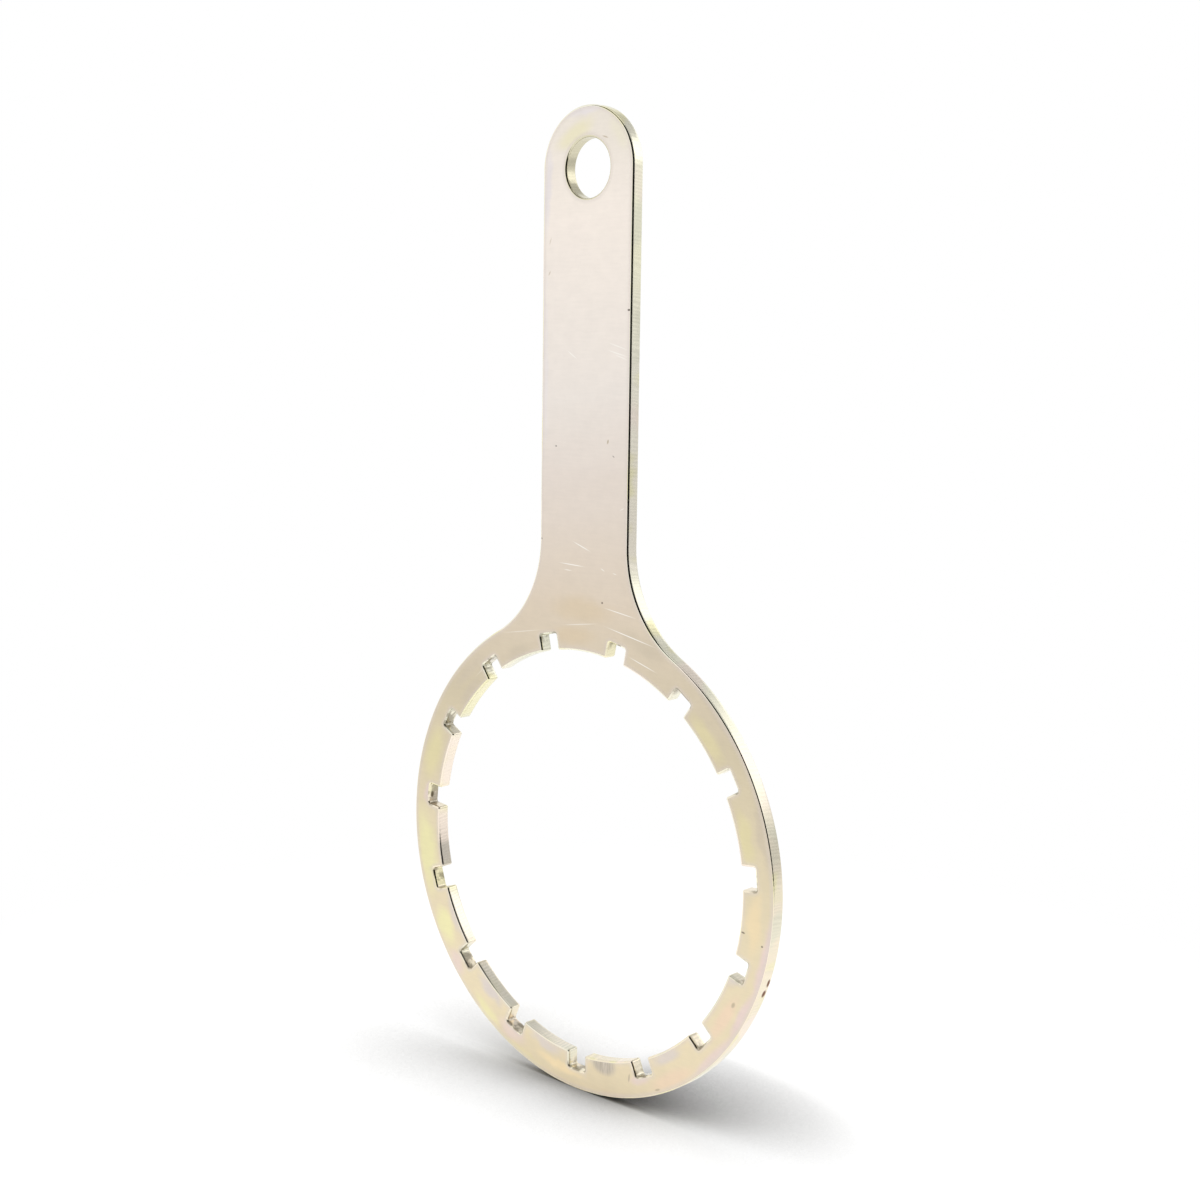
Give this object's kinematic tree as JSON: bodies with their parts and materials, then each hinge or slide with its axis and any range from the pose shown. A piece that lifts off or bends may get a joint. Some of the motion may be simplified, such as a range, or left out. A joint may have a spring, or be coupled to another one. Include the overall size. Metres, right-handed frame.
{
  "type": "fuel filter wrench",
  "caption": "Flat ring spanner cut from plated steel sheet: a notched ring that grips a ribbed filter cap, a blended neck, and a straight handle with a round end and a hanging hole.",
  "frame": {"origin": "centre of the ring, on the axis that the wrench turns about, at mid-thickness of the sheet", "axes": "+Z from the ring centre along the handle, standing on the rim as pictured; +Y along the ring's axis, through the thickness, away from the front face"},
  "size_m": [0.118, 0.0034, 0.2354],
  "materials": {
    "zinc_plated_steel": "satin zinc plating with a pale yellow iridescent passivate, laser-cut edges"
  },
  "bodies": {
    "root": {"wrench_plate": "zinc_plated_steel"}
  },
  "joints": []
}
